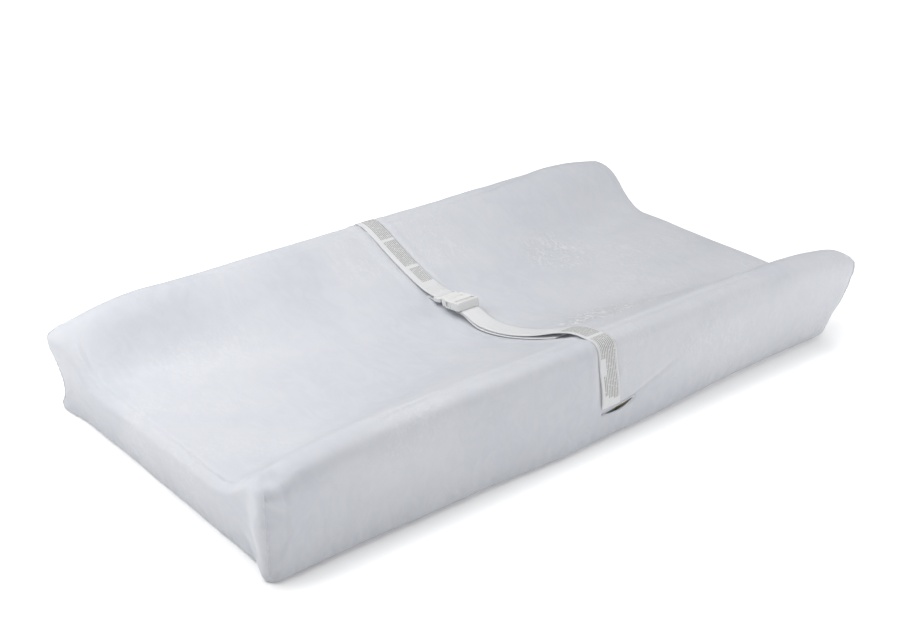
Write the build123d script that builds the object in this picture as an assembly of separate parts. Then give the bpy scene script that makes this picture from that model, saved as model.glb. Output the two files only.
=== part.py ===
"""Contoured changing pad: a foam core in a wipe-clean liner, a fitted plush cover and a safety belt.

Millimetres, +Z up. X runs along the length and Y across the width. The belt's near half is on -Y.
The origin is at the middle of the footprint, on the surface that the pad lies on.
"""
from build123d import *
import os
from math import cos, pi, sin

os.makedirs("parts", exist_ok=True)

# ---- Pad, over the cover
length = 806
width = 423
rim_height = 115.5
rim_drop_at_ends = 16
crest_inset = 17.5
floor_at_middle = 56.5
floor_at_ends = 54
floor_edge_at_middle = 25
floor_edge_at_ends = 110
shoulder_height = 98
side_lean = 2.5
end_belly_height = 78
end_undercut = 16
end_rounding = 22
corner_radius = 26
seam_rise = 0.8

# ---- Skins, each inside the one before, with a little air between
cover_thickness = 1.6
liner_thickness = 0.8
skin_gap = 1
seam_gap = 0.4
liner_inset = cover_thickness + skin_gap
foam_inset = liner_inset + liner_thickness + skin_gap
piping_inset = 6
piping_width = 2.6
piping_proud = 0.4
seam_split = 47

# ---- Cover hem, turned under the pad
hem_width = 45
hem_thickness = 3
elastic_width = 6
elastic_thickness = 1
elastic_margin = 3
tunnel_play = 0.3

# ---- Belt
belt_x = 7
webbing_width = 25
webbing_thickness = 1.3
strap_stand_off = 1.6
slit_x = belt_x + 9
slit_length = 46
slit_height = 8
slit_z = 38
binding_border = 3
binding_proud = 0.4
pocket_length = 60
pocket_bottom = 10
pocket_top = 48
pocket_depth = 4
patch_length = 40
patch_height = 20
patch_thickness = 0.8
patch_z = 22
thread = 0.5

# ---- Buckle, a side-release pair: the plug on the far half, the receptacle on the near half.
# Its own axes are u towards the plug, v across and w up, from a centre above the valley floor.
buckle_y = 29.5
buckle_z = 71
buckle_tilt = -7
receptacle_width = 31
collar_width = 28
receptacle_thickness = 9
lip_rise = 1.2
near_end_u = -23
lip_width = 3.4
strap_slot = 2.1
ladder_bar = 2.4
cavity_start_u = -11.5
mouth_u = 7.5
cavity_width = 24.8
cavity_height = 5.6
window_start_u = -10.2
window_end_u = -1
plug_front_u = 7.9
plug_shoulder_u = 12.4
plug_slot_u = 17.6
plug_end_u = 23.5
plug_width = 29
plug_thickness = 5
plug_bar = 3
plug_bar_u = 21.7
tongue_width = 8
tongue_thickness = 3
tongue_tip_u = -10.8
arm_pivot_u = 10.5
arm_pivot_v = 10.4
arm_width = 2.8
arm_height = 4.6
arm_tip_u = -10.8
latch_play = 0.4
running_gap = 0.35

half_length = length / 2
half_width = width / 2
crest_y = half_width - crest_inset
pad_base = hem_thickness + seam_gap


# ---- Shape of the pad

def mix(low, high, share):
    return low + (high - low) * share


def end_share(x):
    """0 at mid-length, where the cover spans the valley tautly, rising to 1 at the ends."""
    return (1 - cos(pi * min(abs(x) / half_length, 1))) / 2


def crest_height(x):
    """The rims are level along the middle and round down towards the ends."""
    level_half = 270
    past = max(0, abs(x) - level_half) / (half_length - level_half)
    return rim_height - rim_drop_at_ends * past**2


def upper_height(x, y):
    """Height of the upper face: a valley floor, a flank and the rim crest."""
    share = end_share(x)
    floor_edge = mix(floor_edge_at_middle, floor_edge_at_ends, share)
    reach = min(max(0, abs(y) - floor_edge) / (crest_y - floor_edge), 1)
    taut = reach**1.45
    stepped = 3 * reach**2.3 - 2 * reach**3.45
    floor = mix(floor_at_middle, floor_at_ends, share)
    return mix(floor, crest_height(x), mix(taut, stepped, share))


def cross_section(x, inset, base):
    """The pad's outline across its width, shrunk by inset and standing on base."""
    side = half_width - inset
    foot = side - side_lean
    crest = crest_height(x) - inset
    drop = crest - shoulder_height + inset
    right = []
    for turn in (0, pi / 8, pi / 4, 3 * pi / 8):
        right.append((side - crest_inset * (1 - cos(turn)), crest - drop * (1 - sin(turn))))
    right += [(crest_y - inset, crest)]
    right += [(y, upper_height(x, y) - inset) for y in (178, 160, 140, 118, 95, 70, 40)]
    left = [(-y, z) for y, z in reversed(right)]
    top = Spline(*right, (0, upper_height(x, 0) - inset), *left)
    walls = Polyline(left[-1], (-foot, base), (foot, base), right[0])
    across = Plane(origin=(x, 0, 0), x_dir=(0, 1, 0), z_dir=(1, 0, 0))
    return across * make_face(top.edges() + walls.edges())


def side_view(inset):
    """A block with the pad's side view: ends that lean out to a belly, then slope in to the top."""
    end = half_length - inset
    lean = end_undercut / end_belly_height
    below = -30
    above = rim_height + 30
    right = [(end - lean * (end_belly_height - below), below), (end, end_belly_height)]
    right += [(end - end_rounding, crest_height(end) + 6 - inset), (end - end_rounding, above)]
    left = [(-x, z) for x, z in reversed(right)]
    along = Plane(origin=(0, width, 0), x_dir=(1, 0, 0), z_dir=(0, -1, 0))
    return extrude(along * make_face(Polyline(*right, *left, close=True)), 2 * width)


def plan_view(inset):
    """A block with the pad's plan view, a rectangle with rounded corners."""
    radius = corner_radius - inset
    outline = RectangleRounded(length - 2 * inset, width - 2 * inset, radius)
    return extrude(Plane.XY.offset(-50) * outline, 250)


def contour(inset, base):
    """The pad's solid, shrunk by inset on every face, with its underside at base."""
    one_end = (0.3, 0.6, 0.84, 0.97, 1.1)
    stations = [-s for s in reversed(one_end)] + [0, *one_end]
    sections = [cross_section(half_length * s, inset, base) for s in stations]
    return loft(sections) & side_view(inset) & plan_view(inset)


# ---- Foam and liner

def side_pocket(side, depth_from_face):
    """The room in the pad's flank behind a belt slit, where the belt's root is sewn."""
    depth = pocket_depth + depth_from_face
    middle_y = side * (half_width - depth / 2)
    height = pocket_top - pocket_bottom
    return Pos(slit_x, middle_y, pocket_bottom + height / 2) * Box(pocket_length, depth, height)


def pockets():
    return side_pocket(-1, foam_inset) + side_pocket(1, foam_inset)


def foam_core():
    return contour(foam_inset, pad_base + liner_thickness + seam_gap) - pockets()


def liner_skirt():
    """The liner without its base: one skin over the top, the sides and the ends."""
    inner = contour(liner_inset + liner_thickness, -10)
    return contour(liner_inset, pad_base + liner_thickness + seam_gap) - inner


def seam_prism(inset):
    """Everything inside the liner's upper seam line, which runs round the pad near its outer edge."""
    block = plan_view(liner_inset + inset)
    return block & Pos(0, 0, seam_split + 100) * Box(2 * length, 2 * width, 200)


def liner_top_panel():
    return liner_skirt() & seam_prism(piping_inset + piping_width + seam_gap)


def liner_side_band():
    return liner_skirt() - seam_prism(piping_inset - seam_gap) - pockets()


def liner_base_panel():
    sheet = Pos(0, 0, pad_base + liner_thickness / 2) * Box(length, width, liner_thickness)
    return contour(liner_inset, pad_base) & sheet


def liner_piping():
    """The bead along the liner's upper seam."""
    depth = liner_thickness + piping_proud
    bead = contour(liner_inset - piping_proud, 0) - contour(liner_inset + depth, -10)
    return bead & (seam_prism(piping_inset) - seam_prism(piping_inset + piping_width))


# ---- Cover

def slit(side, border, depth):
    """A long hole through the cover's side, with rounded ends, where the belt comes out."""
    outline = SlotOverall(slit_length + 2 * border, slit_height + 2 * border)
    face = Plane(origin=(slit_x, side * half_width, slit_z), x_dir=(1, 0, 0), z_dir=(0, side, 0))
    return extrude(face * outline, depth, both=True)


def plush_cover():
    skin = contour(0, 0) - contour(cover_thickness, -10)
    cut_border = binding_border + seam_gap
    return skin - slit(-1, cut_border, 8) - slit(1, cut_border, 8)


def slit_binding(side):
    """The stitched rim that keeps a belt slit from fraying."""
    inner_y = half_width - side_lean - cover_thickness
    outer_y = half_width + binding_proud
    middle_y = side * (inner_y + outer_y) / 2
    slab = Pos(slit_x, middle_y, slit_z) * Box(3 * slit_length, outer_y - inner_y, 60)
    return (slit(side, binding_border, 8) - slit(side, 0, 9)) & slab


def corner_seams():
    """The raised seam down each corner of the cover."""
    fold = contour(-seam_gap - seam_rise, 4) - contour(-seam_gap, -10)
    plates = []
    for x in (-1, 1):
        for y in (-1, 1):
            corner = Pos(x * (half_length - 8), y * (half_width - 8), 50) * Rot(0, 0, x * y * 45)
            plates.append(corner * Box(60, 2.4, 92))
    return [fold & plate for plate in plates]


def hem_tunnel(margin):
    """The ring of space for the elastic, at the hem's inner edge."""
    inner = foot_inset() + hem_width - elastic_margin - elastic_width
    height = elastic_thickness + 2 * margin
    low = (hem_thickness - height) / 2
    return foot_ring(inner - margin, elastic_width + 2 * margin, low, low + height)


def foot_inset():
    """How far the cover's inner face at the floor lies inside the plan outline."""
    return end_undercut + cover_thickness + seam_gap


def foot_ring(inset, ring_width, low, high):
    """A flat ring on the underside, the same distance from the cover's foot on all four sides."""
    side_inset = side_lean + cover_thickness + seam_gap
    x_gain = foot_inset() - side_inset
    outer = RectangleRounded(length - 2 * inset, width - 2 * (inset - x_gain), corner_radius / 2)
    end = inset + ring_width
    inner = RectangleRounded(length - 2 * end, width - 2 * (end - x_gain), corner_radius / 3)
    return extrude(Plane.XY.offset(low) * (outer - inner), high - low)


def cover_hem():
    return foot_ring(foot_inset(), hem_width, 0, hem_thickness) - hem_tunnel(tunnel_play)


def hem_elastic():
    return hem_tunnel(0)


# ---- Belt

def across(x):
    """The YZ plane at x, with Y to the right and Z up."""
    return Plane(origin=(x, 0, 0), x_dir=(0, 1, 0), z_dir=(1, 0, 0))


def band(points, radii, wide=webbing_width, thick=webbing_thickness, x=belt_x):
    """A flat band along a path in the YZ plane, with its bends rounded."""
    path = across(x) * (FilletPolyline(*points, radius=radii) if radii else Polyline(*points))
    start = Plane(origin=path @ 0, x_dir=(1, 0, 0), z_dir=path % 0)
    return sweep(start * Rectangle(wide, thick), path)


def above(y, clear):
    """A point over the upper face on the belt's line."""
    return (y, upper_height(belt_x, y) + clear)


def on_buckle(u, w):
    """A point of the YZ plane given on the buckle's own axes."""
    turned = Vector(u, w).rotate(Axis.Z, buckle_tilt)
    return (buckle_y + turned.X, buckle_z + turned.Y)


def pocket_wall():
    return half_width - foam_inset - pocket_depth


def root_path(side):
    """From the belt's sewn root in its pocket, out through the slit, up the side and over the rim."""
    root_y = pocket_wall() + patch_thickness + 2 * seam_gap + webbing_thickness / 2
    outside_y = half_width + strap_stand_off
    top_z = rim_height + strap_stand_off
    points = [(root_y, patch_z - 8), (root_y, slit_z - 3), (outside_y, slit_z + 3), (outside_y, top_z)]
    points.append((crest_y - 4, top_z))
    return [(side * y, z) for y, z in points]


root_bends = [2, 2, 16, 14]


def far_strap():
    """Down the far flank, then clear of the pad to the plug's bar, round it and back to its stitching."""
    loop = plug_bar / 2 + running_gap + webbing_thickness / 2
    turn_u = plug_bar_u - loop
    points = root_path(1) + [above(150, 2.3), above(105, 2.4), above(80, 2.9), (62, 69.8)]
    points += [on_buckle(turn_u, loop), on_buckle(turn_u, -loop), on_buckle(plug_bar_u + 4, -loop)]
    points.append((70, 68.1))
    return band(points, root_bends + [60, 50, 40, 20, loop * 0.98, loop * 0.98, 3])


def near_strap():
    """Up the near flank to the receptacle, over its ladder bar, and back underneath as the free tail."""
    half = webbing_thickness / 2
    under = -receptacle_thickness / 2 - running_gap - half
    over = receptacle_thickness / 2 - half
    up_u = near_end_u + lip_width + strap_slot / 2
    down_u = up_u + strap_slot + ladder_bar
    tail = under - webbing_thickness - running_gap
    points = [(-y, z) for y, z in root_path(1)]
    points += [above(-110, 3.8), above(-60, 3.9), above(-27, 3.8), above(-8, 4.2)]
    points += [on_buckle(near_end_u - 3, under), on_buckle(up_u, under), on_buckle(up_u, over)]
    points += [on_buckle(down_u, over), on_buckle(down_u, tail), on_buckle(near_end_u - 2, tail)]
    points += [above(-8, 2.1), above(-27, 1.5), above(-60, 1.5), above(-110, 1.6), above(-140, 1.7)]
    bends = [60, 50, 30, 8, 6, 1.2, 1.2, 1.2, 1.2, 6, 8, 30, 50, 60]
    return band(points, root_bends + bends)


def far_strap_stitching():
    """The box stitch that closes the far strap's loop behind the plug."""
    lift = webbing_thickness / 2 + thread
    start, end = Vector(62.5, 69.9 + lift), Vector(72.5, 70.75 + lift)
    rows = []
    for x in (-9, 9):
        rows.append(band([start, end], None, thread, thread, belt_x + x))
    for point in (start, end):
        rows.append(Pos(belt_x, point.X, point.Y) * Box(18 - 2 * thread, thread, thread))
    return rows


def anchor_patch(side):
    """The reinforcing patch under the belt's root."""
    y = pocket_wall() + seam_gap + patch_thickness / 2
    return Pos(slit_x, side * y, patch_z) * Box(patch_length, patch_thickness, patch_height)


def anchor_stitching():
    """Bartacks that hold the belt's roots to their patches, two to a side."""
    outer_y = pocket_wall() + patch_thickness + 2 * seam_gap + webbing_thickness + thread / 2
    tacks = []
    for side in (-1, 1):
        for z in (patch_z - 6, patch_z + 3):
            tacks.append(Pos(belt_x, side * (outer_y + 0.05), z) * Box(20, thread, 1.6))
    return tacks


# ---- Buckle

def place_buckle(shape):
    return Pos(belt_x, buckle_y, buckle_z) * Rot(buckle_tilt, 0, 0) * shape


def block(v, u, w):
    """A box on the buckle's axes, from pairs of limits."""
    middle = Pos((v[0] + v[1]) / 2, (u[0] + u[1]) / 2, (w[0] + w[1]) / 2)
    return middle * Box(v[1] - v[0], u[1] - u[0], w[1] - w[0])


def buckle_receptacle():
    """A flat sleeve with side windows for the latch arms and a ladder lock at its near end."""
    wide, narrow = receptacle_width / 2, collar_width / 2
    half = receptacle_thickness / 2
    outline = [(wide - 1, near_end_u), (wide, near_end_u + 4), (wide, window_end_u + 1)]
    outline += [(narrow, window_end_u + 3.5), (narrow, mouth_u)]
    outline += [(-v, u) for v, u in reversed(outline)]
    plate = extrude(Plane.XY.offset(-half) * make_face(Polyline(*outline, close=True)), 2 * half)
    plate = fillet(plate.edges().filter_by(Axis.Z), 1)
    plate = fillet(plate.edges().group_by(Axis.Z)[-1] + plate.edges().group_by(Axis.Z)[0], 0.9)
    hollow = cavity_width / 2, cavity_height / 2
    plate -= block((-hollow[0], hollow[0]), (cavity_start_u, mouth_u + 1), (-hollow[1], hollow[1]))
    plate -= block((-wide - 1, wide + 1), (window_start_u, window_end_u), (-hollow[1], hollow[1]))
    slot_v = (-webbing_width / 2 - 0.4, webbing_width / 2 + 0.4)
    first = near_end_u + lip_width
    second = first + strap_slot + ladder_bar
    for u in (first, second):
        plate -= block(slot_v, (u, u + strap_slot), (-half - 1, half + 3))
    bar = (first - 0.1, second + strap_slot + 0.1)
    plate -= block(slot_v, bar, (half - webbing_thickness - running_gap, half + 1))
    plate -= block(slot_v, (first - 0.1, second + 0.1), (-half - 1, -half + 1.2))
    lip = block((-wide + 1.6, wide - 1.6), (near_end_u + 0.2, first - 0.1), (half - 1.5, half + lip_rise))
    lip = fillet(lip.edges().group_by(Axis.Z)[-1], 0.9)
    grip = [block((-9, 9), (u, u + 1.1), (half - 0.5, half + 0.5)) for u in (-3.5, -1.2, 1.1)]
    grip = [fillet(rib.edges().group_by(Axis.Z)[-1], 0.3) for rib in grip]
    return place_buckle(plate + lip + grip)


def buckle_plug():
    """The far half: a frame with the strap's bar, a shoulder and the tongue between the latch arms."""
    half, wide = plug_thickness / 2, plug_width / 2
    neck = arm_pivot_v - arm_width - 0.8
    outline = [(neck, plug_front_u), (neck, plug_shoulder_u), (wide - 1.5, plug_shoulder_u)]
    outline += [(wide, plug_slot_u), (wide, plug_end_u - 1.5), (wide - 1.5, plug_end_u)]
    outline += [(-v, u) for v, u in reversed(outline)]
    frame = extrude(Plane.XY.offset(-half) * make_face(Polyline(*outline, close=True)), 2 * half)
    frame = fillet(frame.edges().group_by(Axis.Z)[-1] + frame.edges().group_by(Axis.Z)[0], 0.8)
    slot_v = webbing_width / 2 + 0.4
    frame -= block((-slot_v, slot_v), (plug_slot_u, plug_end_u + 1), (-half - 1, half + 1))
    bar = Pos(0, plug_bar_u, 0) * Rot(0, 90, 0) * Cylinder(plug_bar / 2, plug_width - 2.6)
    tip = tongue_width / 2
    tongue_outline = [(tip, plug_front_u + 1), (tip, tongue_tip_u + 2), (tip - 1.5, tongue_tip_u)]
    tongue_outline += [(-v, u) for v, u in reversed(tongue_outline)]
    low = -tongue_thickness / 2
    tongue_face = make_face(Polyline(*tongue_outline, close=True))
    tongue = extrude(Plane.XY.offset(low) * tongue_face, tongue_thickness)
    return place_buckle(frame + bar + tongue)


def latch_arm(side):
    """A springy arm that ends in the pad the thumb or finger presses."""
    inner, outer = arm_pivot_v - arm_width / 2, arm_pivot_v + arm_width / 2
    shoulder_u = window_end_u - latch_play
    heel, tip = (outer, arm_pivot_u), (outer - 0.6, arm_tip_u)
    pad = ThreePointArc((outer + 2, shoulder_u), (outer + 2.7, shoulder_u - 5), tip)
    back = Polyline(heel, (outer, shoulder_u), pad @ 0)
    inside = Polyline(tip, (inner + 0.6, arm_tip_u), (inner, arm_tip_u + 1.5), (inner, arm_pivot_u))
    root = ThreePointArc((inner, arm_pivot_u), (arm_pivot_v, arm_pivot_u + arm_width / 2), heel)
    profile = make_face(back.edges() + pad.edges() + inside.edges() + root.edges())
    arm = extrude(Plane.XY.offset(-arm_height / 2) * profile, arm_height)
    arm = fillet(arm.edges().group_by(Axis.Z)[-1] + arm.edges().group_by(Axis.Z)[0], 0.2)
    return place_buckle(arm if side > 0 else mirror(arm, Plane.YZ))


# ---- The pieces, one file each

pieces = {
    "foam_core": foam_core(),
    "liner_top_panel": liner_top_panel(),
    "liner_side_band": liner_side_band(),
    "liner_base_panel": liner_base_panel(),
    "liner_piping": liner_piping(),
    "plush_cover": plush_cover(),
    "cover_corner_seams": corner_seams(),
    "cover_hem": cover_hem(),
    "hem_elastic": hem_elastic(),
    "near_slit_binding": slit_binding(-1),
    "far_slit_binding": slit_binding(1),
    "near_anchor_patch": anchor_patch(-1),
    "far_anchor_patch": anchor_patch(1),
    "anchor_stitching": anchor_stitching(),
    "near_strap": near_strap(),
    "far_strap": far_strap(),
    "far_strap_stitching": far_strap_stitching(),
    "buckle_receptacle": buckle_receptacle(),
    "buckle_plug": buckle_plug(),
    "left_latch_arm": latch_arm(-1),
    "right_latch_arm": latch_arm(1),
}
for node, shape in pieces.items():
    export_step(Compound(shape) if isinstance(shape, list) else shape, f"parts/{node}.step")
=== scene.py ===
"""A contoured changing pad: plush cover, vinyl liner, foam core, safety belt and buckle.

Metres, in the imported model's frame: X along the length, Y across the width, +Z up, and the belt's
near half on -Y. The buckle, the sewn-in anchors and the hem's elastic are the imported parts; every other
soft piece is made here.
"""
from math import cos, pi, radians, sin, tau

import bpy
import numpy as np
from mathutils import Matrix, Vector, noise
from mathutils.bvhtree import BVHTree


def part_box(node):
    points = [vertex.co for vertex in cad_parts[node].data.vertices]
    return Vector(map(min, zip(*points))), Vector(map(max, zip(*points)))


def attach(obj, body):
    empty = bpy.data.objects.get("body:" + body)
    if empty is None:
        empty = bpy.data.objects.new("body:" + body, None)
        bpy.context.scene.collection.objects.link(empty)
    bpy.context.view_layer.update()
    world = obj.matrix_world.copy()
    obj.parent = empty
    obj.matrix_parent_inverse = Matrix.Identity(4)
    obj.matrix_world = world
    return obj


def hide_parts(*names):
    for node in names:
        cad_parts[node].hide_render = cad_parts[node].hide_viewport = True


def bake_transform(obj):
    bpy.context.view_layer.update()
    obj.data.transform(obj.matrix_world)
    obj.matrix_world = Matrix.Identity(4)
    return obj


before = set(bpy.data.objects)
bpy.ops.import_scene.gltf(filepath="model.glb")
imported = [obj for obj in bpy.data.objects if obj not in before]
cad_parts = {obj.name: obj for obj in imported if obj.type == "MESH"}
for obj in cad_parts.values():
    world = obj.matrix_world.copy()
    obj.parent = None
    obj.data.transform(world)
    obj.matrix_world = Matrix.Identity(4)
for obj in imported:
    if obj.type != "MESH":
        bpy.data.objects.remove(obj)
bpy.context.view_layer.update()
mm = 0.001

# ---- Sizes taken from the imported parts
cover_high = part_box("plush_cover")[1]
half_length, half_width = cover_high.x, cover_high.y
rim_height = cover_high.z - 0.5 * mm
elastic_low, elastic_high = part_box("hem_elastic")
receptacle_low, receptacle_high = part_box("buckle_receptacle")
belt_x = (receptacle_low.x + receptacle_high.x) / 2

# ---- Shape of the pad: the part's, with the rims and the valley floor corrected from the photo
crest_inset = 17.5 * mm
crest_y = half_width - crest_inset
near_crest_radius, far_crest_radius = 13 * mm, 17 * mm
far_rim_drop = 2.2 * mm
corner_radius = 12 * mm
foot_radius = 6 * mm
floor_at_middle = 56.5 * mm
floor_at_left, floor_at_right = 59 * mm, 54 * mm
floor_edge_at_middle, floor_edge_at_ends = 25 * mm, 110 * mm
rim_level_half = 270 * mm
rim_drop_at_ends = 16 * mm
far_foot_draw = 3 * mm
pinch_depth = 5 * mm

# ---- Fabric
swell_cap = 2.5 * mm
cover_thickness = 1.6 * mm
liner_thickness = 0.8 * mm
liner_inset = 2.8 * mm
foam_inset = 4.4 * mm
liner_base_z = 3.4 * mm
foam_base_z = 4.7 * mm
liner_pocket_inset = 8.6 * mm
foam_pocket_inset = 10.5 * mm

# ---- Belt
webbing_width, webbing_thickness = 25 * mm, 1.3 * mm
buckle_y, buckle_z, buckle_tilt = 29.5 * mm, 71 * mm, radians(-7)
slit_z, slit_slope = 37 * mm, 0.13
near_slit = (1 * mm, 48 * mm)
far_slit = (-7 * mm, 39 * mm)


def mix(low, high, share):
    return low + (high - low) * share


def smooth(share):
    share = np.clip(share, 0, 1)
    return share * share * (3 - 2 * share)


def bell(distance, spread):
    return np.exp(-((distance / spread) ** 2))


# ---- Meshes

def new_object(name, points, faces, material=None, smooth_shading=True):
    mesh = bpy.data.meshes.new(name)
    mesh.from_pydata([tuple(p) for p in points], [], [tuple(int(i) for i in f) for f in faces])
    mesh.update()
    obj = bpy.data.objects.new(name, mesh)
    bpy.context.scene.collection.objects.link(obj)
    if smooth_shading:
        mesh.shade_smooth()
    if material:
        mesh.materials.append(material)
    return obj


def points_of(mesh):
    flat = np.empty(len(mesh.vertices) * 3, np.float32)
    mesh.vertices.foreach_get("co", flat)
    return flat.reshape(-1, 3).astype(float)


def normals_of(mesh):
    flat = np.empty(len(mesh.vertices) * 3, np.float32)
    mesh.vertex_normals.foreach_get("vector", flat)
    return flat.reshape(-1, 3).astype(float)


def move_points(obj, points):
    obj.data.vertices.foreach_set("co", points.astype(np.float32).ravel())
    obj.data.update()


def apply_modifiers(obj):
    graph = bpy.context.evaluated_depsgraph_get()
    mesh = bpy.data.meshes.new_from_object(obj.evaluated_get(graph), depsgraph=graph)
    obj.modifiers.clear()
    obj.data = mesh
    mesh.shade_smooth()


def subdivide(obj):
    obj.modifiers.new("subdivision", "SUBSURF").levels = 1
    apply_modifiers(obj)


def thicken(obj, thickness):
    """Gives a skin its thickness, on its inner side."""
    solid = obj.modifiers.new("thickness", "SOLIDIFY")
    solid.thickness = thickness
    solid.offset = -1
    apply_modifiers(obj)


def surface_tree(obj):
    """A tree of the object's faces, for casting rays at it."""
    return BVHTree.FromPolygons([v.co for v in obj.data.vertices], [p.vertices for p in obj.data.polygons])


def tube(name, path, radii, material, closed=False, sides=8):
    """A tube along path, whose section has radii (across, up) at each point."""
    path = [Vector(p) for p in path]
    count = len(path)
    rings = []
    for i, point in enumerate(path):
        before = path[i - 1] if i or closed else path[i]
        after = path[(i + 1) % count] if i < count - 1 or closed else path[i]
        along = (after - before).normalized()
        up = Vector((0, 0, 1)) if abs(along.z) < 0.9 else Vector((0, 1, 0))
        across = along.cross(up).normalized()
        up = across.cross(along)
        wide, high = radii[i] if isinstance(radii, list) else radii
        for k in range(sides):
            turn = tau * k / sides
            rings.append(point + across * wide * cos(turn) + up * high * sin(turn))
    faces = []
    for i in range(count if closed else count - 1):
        for k in range(sides):
            a, b = i * sides + k, i * sides + (k + 1) % sides
            c, d = ((i + 1) % count) * sides + k, ((i + 1) % count) * sides + (k + 1) % sides
            faces.append((a, b, d, c))
    if not closed:
        faces.append(tuple(reversed(range(sides))))
        faces.append(tuple(range((count - 1) * sides, count * sides)))
    return new_object(name, rings, faces, material)


# ---- The pad's surface, as a box-shaped lattice that is bent into shape

def crest_height(x):
    past = np.maximum(0, abs(x) - rim_level_half) / (half_length - rim_level_half)
    return rim_height - rim_drop_at_ends * past**2


def upper_height(x, y):
    """Height of the upper face: a valley floor, a flank and the rim crest."""
    share = (1 - np.cos(pi * np.minimum(abs(x) / half_length, 1))) / 2
    floor_edge = mix(floor_edge_at_middle, floor_edge_at_ends, share)
    reach = np.clip((abs(y) - floor_edge) / (crest_y - floor_edge), 0, 1)
    taut = reach**1.45
    stepped = 3 * reach**2.3 - 2 * reach**3.45
    floor_at_ends = np.where(x < 0, floor_at_left, floor_at_right)
    floor = mix(floor_at_middle, floor_at_ends, share)
    return mix(floor, crest_height(x), mix(taut, stepped, share))


def spaced(half, edge, fine, coarse):
    """Places from -half to half, closer together within edge of both ends."""
    inner = half - edge
    middle = np.linspace(-inner, inner, round(2 * inner / coarse) + 1)
    end = np.linspace(inner, half, round(edge / fine) + 1)[1:]
    return np.concatenate([-end[::-1], middle, end])


def box_lattice(xs, ys, zs):
    """The surface points of a box, and its faces by side as grids of four corners."""
    shape = (len(xs), len(ys), len(zs))
    outer = np.zeros(shape, bool)
    for end in (0, -1):
        outer[end, :, :] = True
        outer[:, end, :] = True
        outer[:, :, end] = True
    index = np.full(shape, -1)
    index[outer] = np.arange(outer.sum())
    i, j, k = np.nonzero(outer)
    points = np.stack([xs[i], ys[j], zs[k]], 1)
    sides = {
        "left": index[0].T, "right": index[-1], "near": index[:, 0], "far": index[:, -1].T,
        "bottom": index[:, :, 0].T, "top": index[:, :, -1],
    }
    quads = {}
    for name, grid in sides.items():
        corners = [grid[:-1, :-1], grid[1:, :-1], grid[1:, 1:], grid[:-1, 1:]]
        quads[name] = np.stack(corners, -1)
    return points, quads, index


def rounded_box(points):
    """Rounds the box's upright corners, its upper edge and its foot."""
    x, y, z = points.T.copy()
    over_x = abs(x) - (half_length - corner_radius)
    over_y = abs(y) - (half_width - corner_radius)
    both = (over_x > 0) & (over_y > 0)
    longest = np.maximum(over_x, over_y)
    reach = np.where(both, np.hypot(over_x, over_y), 1)
    out_x = np.where(both, over_x / reach, over_x > over_y) * np.sign(x)
    out_y = np.where(both, over_y / reach, over_x <= over_y) * np.sign(y)
    x = np.where(both, np.sign(x) * (half_length - corner_radius) + out_x * longest, x)
    y = np.where(both, np.sign(y) * (half_width - corner_radius) + out_y * longest, y)
    crest_radius = mix(near_crest_radius, far_crest_radius, smooth(y / half_width + 0.5))
    for radius, rise, way in ((crest_radius, z - rim_height, 1), (foot_radius, -z, -1)):
        outward = longest - corner_radius + radius
        upward = rise + radius
        turning = (outward > 0) & (upward > 0)
        diagonal = np.maximum(np.hypot(outward, upward), 1e-9)
        shrink = np.where(turning, np.maximum(outward, upward) / diagonal, 1)
        x = x + np.where(turning, out_x * outward * (shrink - 1), 0)
        y = y + np.where(turning, out_y * outward * (shrink - 1), 0)
        z = z + np.where(turning, upward * (shrink - 1) * way, 0)
    return x, y, z


# How far each end leans out (+) or in (-) at a height, in mm: heights, then leans.
end_leans = {
    "left": ((0, 20, 45, 60, 115), (-14, -10, -5, -5, -5)),
    "right": ((0, 20, 45, 60, 115), (-16, -12, -6, -5, -5)),
    "left near": ((0, 13, 34, 60, 103, 115), (-4, -2, -1, 1, 1, -2)),
    "left far": ((0, 12, 33, 51, 60, 72, 86, 100), (-6, -11, -10, -7, -5, -1, 1, -4)),
    "right near": (
        (0, 15, 24, 38, 53, 68, 78, 84, 92, 105, 115),
        (-23, -15, -10, -3, 3, 9, 11, 11, 6, -4, -9),
    ),
    "right far": ((0, 15, 38, 53, 68, 78, 92, 110), (-16, -15, -11, -6, 1, 3, -1, -8)),
}


def lean_of(key, z):
    heights, leans = end_leans[key]
    return np.interp(z, np.array(heights) * mm, np.array(leans) * mm)


def lean_ends(x, y, z):
    """Each end is drawn in at its foot, and its corners stand out by their own amounts."""
    at_end = smooth((abs(x) - half_length + 90 * mm) / (80 * mm))
    for side, hand in ((-1, "left"), (1, "right")):
        lean = lean_of(hand, z)
        for across, corner, start in ((-1, "near", 172 * mm), (1, "far", 145 * mm)):
            share = smooth((across * y - start) / (half_width - 12 * mm - start))
            lean = mix(lean, lean_of(f"{hand} {corner}", z), share)
        x = np.where(side * x > 0, x + side * lean * at_end, x)
    return x


def foot_draw(x):
    """How far the near foot is drawn in: a little on the left, more past the belt."""
    past_belt = smooth((x - 30 * mm) / (230 * mm))
    slack = bell(x + 55 * mm, 60 * mm)
    return 2.5 * mm + 10.5 * mm * past_belt - 3 * mm * slack


def pad_surface(points):
    x, y, z = rounded_box(points)
    z = z * upper_height(x, y) / rim_height
    z = z * (1 - far_rim_drop / rim_height * smooth((y - 60 * mm) / (100 * mm)))
    hang = np.clip(1 - z / (92 * mm), 0, 1) ** 1.4
    draw = np.where(y < 0, foot_draw(x), far_foot_draw)
    at_side = smooth((abs(y) - crest_y + 50 * mm) / (50 * mm))
    y = y - np.sign(y) * draw * hang * at_side
    x = lean_ends(x, y, z)
    pinch = bell(x + half_length - 17 * mm, 9 * mm) * bell(y + crest_y, 14 * mm) * smooth(z / rim_height)
    z = z - pinch_depth * pinch
    return np.stack([x, y, z], 1)


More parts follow.
